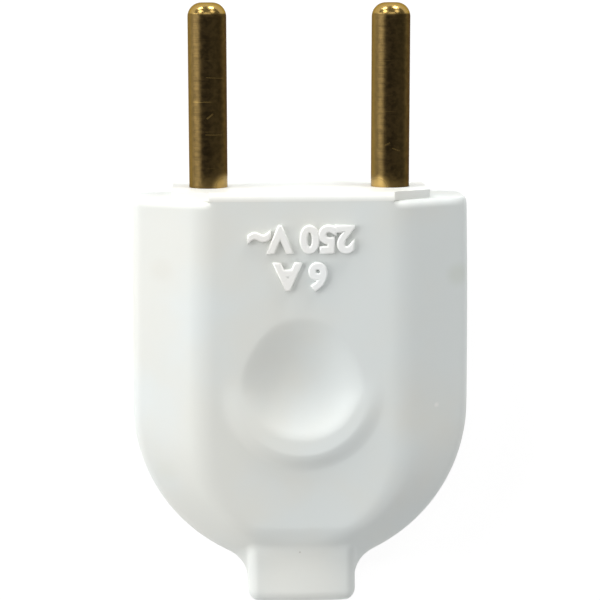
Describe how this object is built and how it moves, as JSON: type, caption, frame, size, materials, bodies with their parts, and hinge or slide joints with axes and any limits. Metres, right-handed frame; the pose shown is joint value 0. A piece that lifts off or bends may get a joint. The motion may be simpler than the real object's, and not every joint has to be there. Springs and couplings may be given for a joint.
{
  "type": "two-pin plug",
  "caption": "Rewirable flat plug with round brass pins, a finger hollow on each flat face and a square cord stub.",
  "frame": {"origin": "middle of the pin face, between the two pins, on the mid-plane between the flat faces", "axes": "+Y along the pins towards their tips, +X to the right of the front face, +Z out of the front face; the plug lies on its flat back"},
  "size_m": [0.0352, 0.0626, 0.0139],
  "materials": {
    "shell_plastic": "satin white moulding",
    "carrier_plastic": "satin off-white moulding",
    "pin_brass": "turned, worn and darkened",
    "screw_steel": "zinc-plated",
    "clamp_plastic": "satin white moulding"
  },
  "bodies": {
    "root": {"shell": "shell_plastic", "pin_carrier": "carrier_plastic", "left_pin": "pin_brass", "right_pin": "pin_brass", "left_terminal_screw": "screw_steel", "right_terminal_screw": "screw_steel", "cord_clamp_bar": "clamp_plastic", "left_clamp_screw": "screw_steel", "right_clamp_screw": "screw_steel"}
  },
  "joints": []
}
